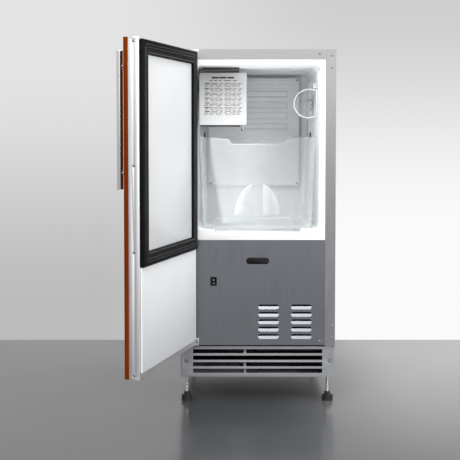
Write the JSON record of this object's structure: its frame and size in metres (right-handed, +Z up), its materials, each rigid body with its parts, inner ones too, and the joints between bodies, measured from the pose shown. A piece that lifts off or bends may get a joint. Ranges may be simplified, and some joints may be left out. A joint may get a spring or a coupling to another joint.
{
  "type": "ice maker",
  "caption": "Built-in undercounter ice maker with an open wood-faced door, clear ice bin, scoop, louvred steel front, toe grille and levelling feet.",
  "frame": {"origin": "on the floor, under the middle of the cabinet's front flange", "axes": "+X to the right seen from the front, +Y into the cabinet's depth, +Z up"},
  "size_m": [0.4971, 0.9445, 0.864],
  "materials": {
    "cabinet_steel": "fine vertical brushing",
    "plated_steel": "galvanised",
    "service_steel": "satin",
    "toe_steel": "satin",
    "screw_steel": "polished heads",
    "liner_white": "semi-gloss",
    "foam": "foam",
    "hinge_steel": "satin",
    "cold_aluminium": "embossed",
    "switch_black": "matt",
    "rocker_black": "gloss",
    "badge_black": "gloss",
    "mold_aluminium": "cast",
    "gearcase_black": "matt",
    "module_grey": "matt",
    "cover_white": "semi-gloss",
    "label_paper": "printed lines",
    "wire_steel": "plated",
    "clear_plastic": "clear",
    "pin_black": "matt",
    "compressor_black": "satin",
    "condenser_metal": "satin",
    "fan_plastic": "matt",
    "copper": "drawn tube",
    "valve_plastic": "moulded",
    "tube_white": "tube",
    "gland_black": "matt",
    "foot_steel": "plated thread",
    "foot_black": "matt",
    "door_steel": "satin",
    "door_wood": "oiled",
    "door_white": "semi-gloss",
    "gasket_black": "matt",
    "handle_steel": "satin"
  },
  "bodies": {
    "cabinet": {"left_side_panel": "cabinet_steel", "right_side_panel": "cabinet_steel", "top_panel": "cabinet_steel", "back_panel": "plated_steel", "base_pan": "plated_steel", "compartment_deck": "plated_steel", "control_box": "plated_steel", "lower_front_panel": "service_steel", "kick_grille": "toe_steel", "cabinet_screws": "screw_steel", "liner": "liner_white", "insulation": "foam", "hinge_bracket_bottom": "hinge_steel", "hinge_bracket_top": "hinge_steel", "hinge_pins": "hinge_steel", "evaporator_plate": "cold_aluminium", "switch_bezel": "switch_black", "front_badge": "badge_black", "ice_mold": "mold_aluminium", "gearcase": "gearcase_black", "stripper": "module_grey", "module_cover": "cover_white", "fill_cup": "cover_white", "scoop_holder": "cover_white", "instruction_label": "label_paper", "compressor_grommets": "pin_black", "compressor": "compressor_black", "condenser": "condenser_metal", "fan_shroud": "condenser_metal", "fan_motor": "condenser_metal", "refrigerant_lines": "copper", "filter_drier": "copper", "water_valve": "valve_plastic", "water_line": "tube_white", "power_gland": "gland_black"},
    "door": {"door_screws": "screw_steel", "door_foam_core": "foam", "door_bushings": "gland_black", "door_frame": "door_steel", "door_wood_panel": "door_wood", "door_upper_panel": "door_white", "door_lower_panel": "door_white", "door_gasket": "gasket_black", "handle_bar": "handle_steel", "handle_posts": "handle_steel"},
    "bin": {"ice_bin": "clear_plastic", "bin_stop_pins": "pin_black"},
    "scoop": {"ice_scoop": "clear_plastic"},
    "rocker": {"power_rocker": "rocker_black"},
    "arm": {"shutoff_arm": "wire_steel"},
    "ejector_shaft": {"ejector": "module_grey"},
    "fan": {"fan_blade": "fan_plastic"},
    "foot_front_left": {"foot_pad_front_left": "foot_black", "foot_stud_front_left": "foot_steel"},
    "foot_front_right": {"foot_pad_front_right": "foot_black", "foot_stud_front_right": "foot_steel"},
    "foot_rear_left": {"foot_pad_rear_left": "foot_black", "foot_stud_rear_left": "foot_steel"},
    "foot_rear_right": {"foot_pad_rear_right": "foot_black", "foot_stud_rear_right": "foot_steel"}
  },
  "joints": [
    {"name": "door_hinge", "type": "hinge", "parent": "cabinet", "child": "door", "pos_m": [-0.173, -0.03, 0.5], "axis": [0, 0, -1], "range_deg": [-106, 9]},
    {"name": "bin_slide", "type": "slide", "parent": "cabinet", "child": "bin", "axis": [0, -1, 0], "range_m": [0, 0.33]},
    {"name": "scoop_slide", "type": "slide", "parent": "cabinet", "child": "scoop", "axis": [0, -1, 0], "range_m": [0, 0.2]},
    {"name": "rocker_tilt", "type": "hinge", "parent": "cabinet", "child": "rocker", "pos_m": [-0.1074, 0.005, 0.301], "axis": [-1, 0, 0], "range_deg": [0, 16]},
    {"name": "arm_swing", "type": "hinge", "parent": "cabinet", "child": "arm", "pos_m": [-0.038, 0.17, 0.742], "axis": [0, -1, 0], "range_deg": [0, 40]},
    {"name": "ejector_turn", "type": "hinge", "parent": "cabinet", "child": "ejector_shaft", "pos_m": [-0.088, 0.28, 0.772], "axis": [0, 1, 0], "continuous": true},
    {"name": "fan_spin", "type": "hinge", "parent": "cabinet", "child": "fan", "pos_m": [0.077, 0.107, 0.19], "axis": [0, 1, 0], "continuous": true},
    {"name": "foot_front_left_screw", "type": "slide", "parent": "cabinet", "child": "foot_front_left", "axis": [0, 0, -1], "range_m": [0, 0.02]},
    {"name": "foot_front_right_screw", "type": "slide", "parent": "cabinet", "child": "foot_front_right", "axis": [0, 0, -1], "range_m": [0, 0.02]},
    {"name": "foot_rear_left_screw", "type": "slide", "parent": "cabinet", "child": "foot_rear_left", "axis": [0, 0, -1], "range_m": [0, 0.02]},
    {"name": "foot_rear_right_screw", "type": "slide", "parent": "cabinet", "child": "foot_rear_right", "axis": [0, 0, -1], "range_m": [0, 0.02]}
  ]
}
